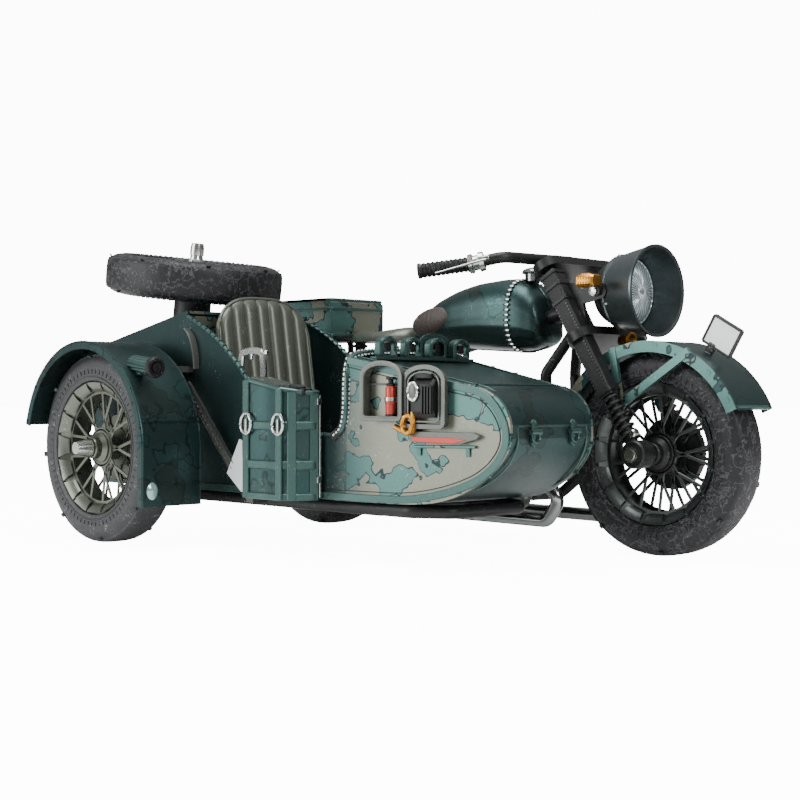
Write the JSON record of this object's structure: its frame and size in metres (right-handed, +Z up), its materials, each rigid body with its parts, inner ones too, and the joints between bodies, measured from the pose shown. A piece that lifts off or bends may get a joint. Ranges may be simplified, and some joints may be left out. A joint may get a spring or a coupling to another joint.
{
  "type": "sidecar motorcycle model",
  "caption": "Sidecar motorcycle model in folded camouflage sheet metal, with a steering fork, rolling spoked wheels, a spare wheel and a side can.",
  "frame": {"origin": "on the ground, under the middle of the whole model", "axes": "+X forward, +Y to the rider's left, +Z up; the sidecar is on the right, at -Y"},
  "size_m": [0.1359, 0.0977, 0.0626],
  "materials": {
    "camo_sheet": "satin",
    "grey_sheet": "satin",
    "black_metal": "satin",
    "bright_metal": "satin",
    "brass_metal": "satin",
    "tyre_grey": "matt",
    "wheel_metal": "satin",
    "seat_sheet": "satin",
    "lamp_glass": "clear",
    "plate_white": "gloss",
    "tool_mixed": "satin"
  },
  "bodies": {
    "chassis": {"body_wrap": "camo_sheet", "can_cap": "black_metal", "can_fittings": "grey_sheet", "coaming": "black_metal", "cowl_fittings": "camo_sheet", "cylinders": "bright_metal", "engine_case": "black_metal", "exhausts": "wheel_metal", "fuel_tank": "camo_sheet", "grab_handle": "bright_metal", "knee_pads": "black_metal", "lantern": "black_metal", "luggage_box": "camo_sheet", "luggage_rack": "grey_sheet", "main_frame": "black_metal", "marker_lamps": "camo_sheet", "nose_latches": "black_metal", "rear_axle": "black_metal", "rear_fender": "camo_sheet", "saddle": "seat_sheet", "saddle_springs": "black_metal", "seat_back": "seat_sheet", "seat_cushion": "seat_sheet", "side_can": "camo_sheet", "side_panels": "camo_sheet", "side_tools": "tool_mixed", "sidecar_axle": "bright_metal", "sidecar_fender": "camo_sheet", "sidecar_frame": "black_metal", "sidecar_struts": "grey_sheet", "spare_holder": "bright_metal", "spare_rim": "wheel_metal", "spare_tyre": "tyre_grey", "tail_shell": "camo_sheet", "tank_cap": "bright_metal", "tool_rack": "grey_sheet"},
    "steering": {"front_axle": "bright_metal", "fork_covers": "black_metal", "fork_springs": "black_metal", "fork_yokes": "black_metal", "handlebar": "black_metal", "grips": "black_metal", "control_levers": "bright_metal", "headlight_bowl": "black_metal", "headlight_lens": "lamp_glass", "headlight_hood": "black_metal", "lamp_brackets": "black_metal", "signal_lamps": "brass_metal", "front_fender": "camo_sheet", "fender_stays": "black_metal", "number_plate": "plate_white"},
    "front_wheel": {"front_tyre": "tyre_grey", "front_rim": "wheel_metal", "front_hub": "wheel_metal"},
    "rear_wheel": {"rear_tyre": "tyre_grey", "rear_rim": "wheel_metal", "rear_hub": "wheel_metal"},
    "sidecar_wheel": {"sidecar_tyre": "tyre_grey", "sidecar_rim": "wheel_metal", "sidecar_hub": "wheel_metal"}
  },
  "joints": [
    {"name": "steer", "type": "hinge", "parent": "chassis", "child": "steering", "pos_m": [0.02803, 0.02075, 0.045], "axis": [-0.515, 0, 0.8572], "range_deg": [-30, 30]},
    {"name": "front_roll", "type": "hinge", "parent": "steering", "child": "front_wheel", "pos_m": [0.0489, 0.02075, 0.019], "axis": [0, 1, 0], "continuous": true},
    {"name": "rear_roll", "type": "hinge", "parent": "chassis", "child": "rear_wheel", "pos_m": [-0.0439, 0.02075, 0.019], "axis": [0, 1, 0], "continuous": true},
    {"name": "sidecar_roll", "type": "hinge", "parent": "chassis", "child": "sidecar_wheel", "pos_m": [-0.0415, -0.04095, 0.019], "axis": [0, 1, 0], "continuous": true}
  ]
}
